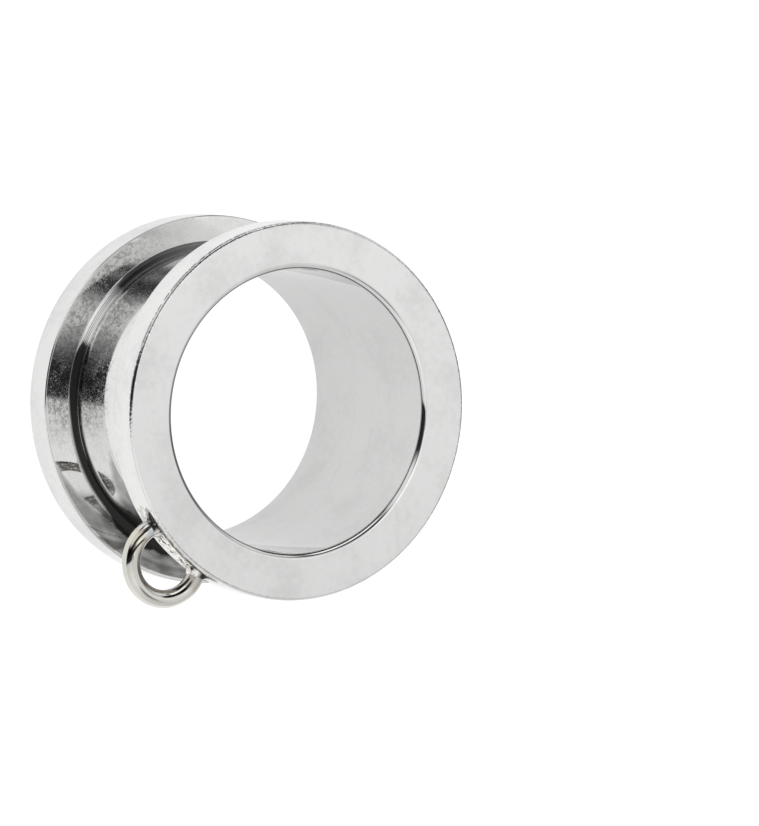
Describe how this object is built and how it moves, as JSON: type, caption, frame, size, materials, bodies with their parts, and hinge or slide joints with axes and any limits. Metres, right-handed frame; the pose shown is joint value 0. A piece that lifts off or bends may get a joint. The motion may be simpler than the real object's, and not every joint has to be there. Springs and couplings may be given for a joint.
{
  "type": "ear tunnel",
  "caption": "Screw-fit steel ear tunnel: an open tube between broad flat flanges, one of which unscrews, with a wire charm loop soldered to the rim of the other.",
  "frame": {"origin": "on the tunnel's axis, in the plane of the back face that it rests on", "axes": "+Z along the tunnel's axis from the back flange to the front flange, which is up as it rests; -Y towards the charm loop, which is down when the tunnel is worn; +X to the right seen from -Y"},
  "size_m": [0.0195, 0.0225, 0.0116],
  "materials": {
    "steel_front": "mirror-polished stainless steel, with solder and slight heat tint at the loop",
    "steel_back": "mirror-polished stainless steel"
  },
  "bodies": {
    "back": {"screw_back": "steel_back"},
    "front": {"front_tube": "steel_front"}
  },
  "joints": [
    {"name": "back_unscrew", "type": "slide", "parent": "back", "child": "front", "axis": [0, 0, 1], "range_m": [0, 0.02]}
  ]
}
